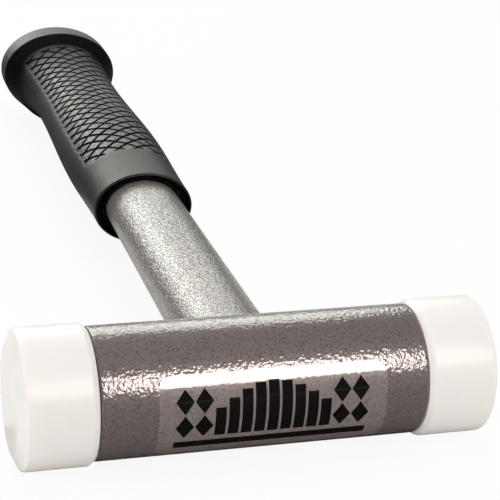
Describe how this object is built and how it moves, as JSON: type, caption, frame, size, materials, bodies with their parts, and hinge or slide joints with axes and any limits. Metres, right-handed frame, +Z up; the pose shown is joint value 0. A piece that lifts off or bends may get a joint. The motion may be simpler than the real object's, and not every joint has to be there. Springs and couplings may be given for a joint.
{
  "type": "dead blow hammer",
  "caption": "Dead blow hammer with a shot-filled steel tube head, screw-on nylon faces, a welded oval tube handle and a moulded rubber grip with a diamond pattern.",
  "frame": {"origin": "on the surface that the hammer lies on, under the middle of its box", "axes": "+X along the head to the right face, +Y along the handle to the butt, +Z up from the surface"},
  "size_m": [0.1246, 0.311, 0.036],
  "materials": {
    "hammertone_paint": "glossy hammertone paint on steel tube",
    "grip_rubber": "matte moulded rubber",
    "nylon": "satin turned nylon, slightly translucent",
    "bare_steel": "turned or rolled bare steel"
  },
  "bodies": {
    "head": {"head_tube": "hammertone_paint", "weld_bead": "hammertone_paint", "handle_tube": "hammertone_paint", "grip": "grip_rubber", "left_bulkhead": "bare_steel", "right_bulkhead": "bare_steel"},
    "shot": {"shot_01": "bare_steel", "shot_02": "bare_steel", "shot_03": "bare_steel", "shot_04": "bare_steel", "shot_05": "bare_steel", "shot_06": "bare_steel", "shot_07": "bare_steel", "shot_08": "bare_steel", "shot_09": "bare_steel", "shot_10": "bare_steel", "shot_11": "bare_steel", "shot_12": "bare_steel", "shot_13": "bare_steel", "shot_14": "bare_steel", "shot_15": "bare_steel", "shot_16": "bare_steel", "shot_17": "bare_steel", "shot_18": "bare_steel", "shot_19": "bare_steel", "shot_20": "bare_steel", "shot_21": "bare_steel", "shot_22": "bare_steel", "shot_23": "bare_steel", "shot_24": "bare_steel", "shot_25": "bare_steel", "shot_26": "bare_steel", "shot_27": "bare_steel", "shot_28": "bare_steel", "shot_29": "bare_steel", "shot_30": "bare_steel", "shot_31": "bare_steel", "shot_32": "bare_steel", "shot_33": "bare_steel", "shot_34": "bare_steel", "shot_35": "bare_steel"},
    "left_stud": {"left_stud": "bare_steel"},
    "left_face": {"left_face": "nylon"},
    "right_stud": {"right_stud": "bare_steel"},
    "right_face": {"right_face": "nylon"}
  },
  "joints": [
    {"name": "shot_slide", "type": "slide", "parent": "head", "child": "shot", "axis": [1, 0, 0], "range_m": [-0.0065, 0.0065]},
    {"name": "left_face_travel", "type": "slide", "parent": "head", "child": "left_stud", "axis": [-1, 0, 0], "range_m": [0, 0.0061]},
    {"name": "left_face_turn", "type": "hinge", "parent": "left_stud", "child": "left_face", "pos_m": [-0.0523, -0.1375, 0.018], "axis": [-1, 0, 0], "range_deg": [0, 1440]},
    {"name": "right_face_travel", "type": "slide", "parent": "head", "child": "right_stud", "axis": [1, 0, 0], "range_m": [0, 0.0061]},
    {"name": "right_face_turn", "type": "hinge", "parent": "right_stud", "child": "right_face", "pos_m": [0.0523, -0.1375, 0.018], "axis": [1, 0, 0], "range_deg": [0, 1440]}
  ],
  "couplings": [
    {"joint": "left_face_travel", "follows": "left_face_turn", "m_per_rad": 0.00023873},
    {"joint": "right_face_travel", "follows": "right_face_turn", "m_per_rad": 0.00023873}
  ]
}
